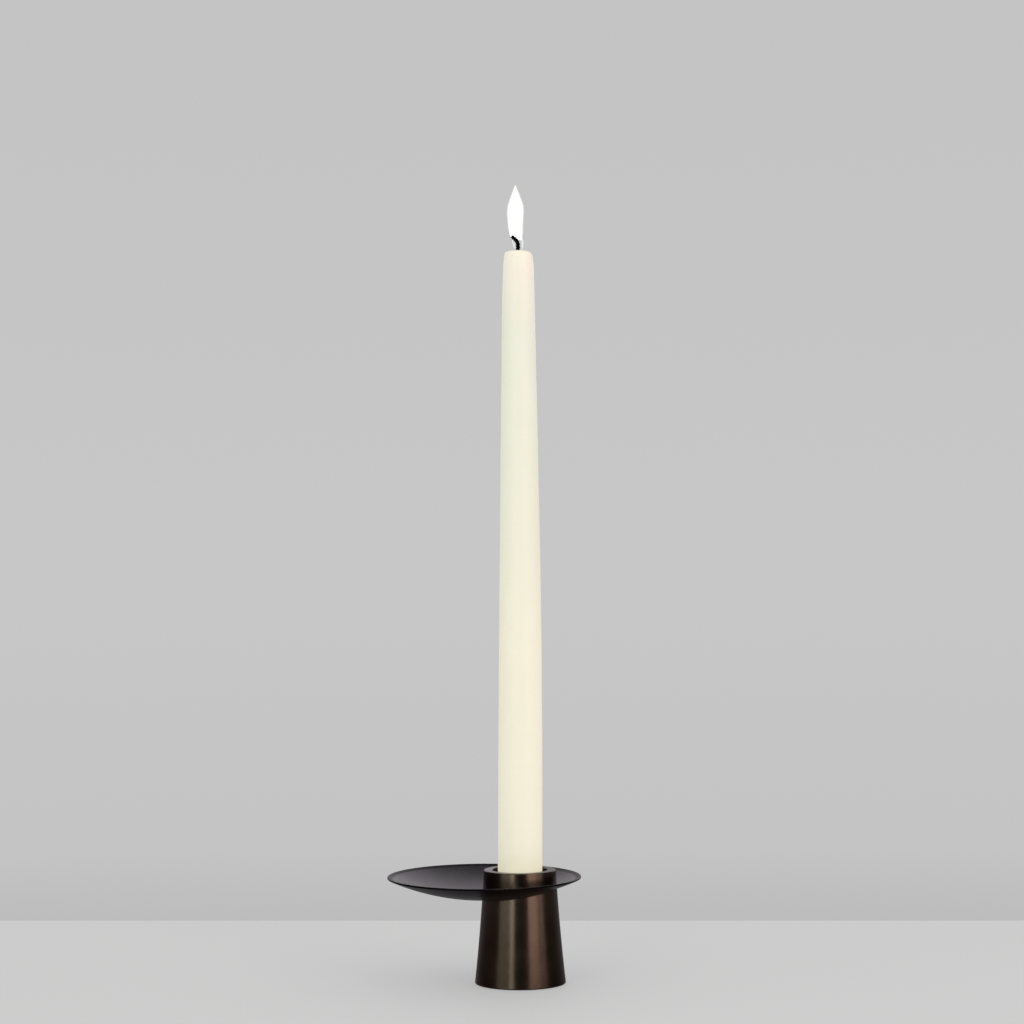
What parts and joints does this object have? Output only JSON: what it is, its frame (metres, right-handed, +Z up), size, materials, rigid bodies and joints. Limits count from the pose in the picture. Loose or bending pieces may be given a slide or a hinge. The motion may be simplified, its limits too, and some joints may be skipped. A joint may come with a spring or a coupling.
{
  "type": "taper candle holder",
  "caption": "Holder for a taper candle: tapered dark bronzed stem standing through an off-centre shallow round drip dish, with its candle.",
  "frame": {"origin": "on the table, on the stem's axis, at the underside of the felt", "axes": "+Z up along the stem and the candle, -X from the stem towards the wide side of the drip dish"},
  "size_m": [0.1, 0.1, 0.3908],
  "materials": {
    "dark_bronze": "dark bronze patina on brass, satin with fine upright brushing",
    "dark_bronze_dish": "dark bronze patina on spun brass, satin with fine rings",
    "braze": "darkened braze",
    "cup_bronze": "dark bronze patina, turned",
    "ballast_iron": "as cast, painted grey",
    "zinc_steel": "zinc plated",
    "felt": "black wool felt",
    "wax": "ivory wax, smooth and slightly translucent",
    "wick": "braided cotton, charred",
    "flame": "glowing candle flame, a looks-only piece with no solid"
  },
  "bodies": {
    "holder": {"stem_shell": "dark_bronze", "drip_dish": "dark_bronze_dish", "dish_braze_ring": "braze", "candle_cup": "cup_bronze", "ballast_weight": "ballast_iron", "base_plate": "zinc_steel", "clamp_screw": "zinc_steel", "lock_washer": "zinc_steel", "foot_pad": "felt"},
    "candle": {"candle": "wax", "candle_wick": "wick"}
  },
  "joints": [
    {"name": "candle_lift", "type": "slide", "parent": "holder", "child": "candle", "axis": [0, 0, 1], "range_m": [0, 0.04]}
  ]
}
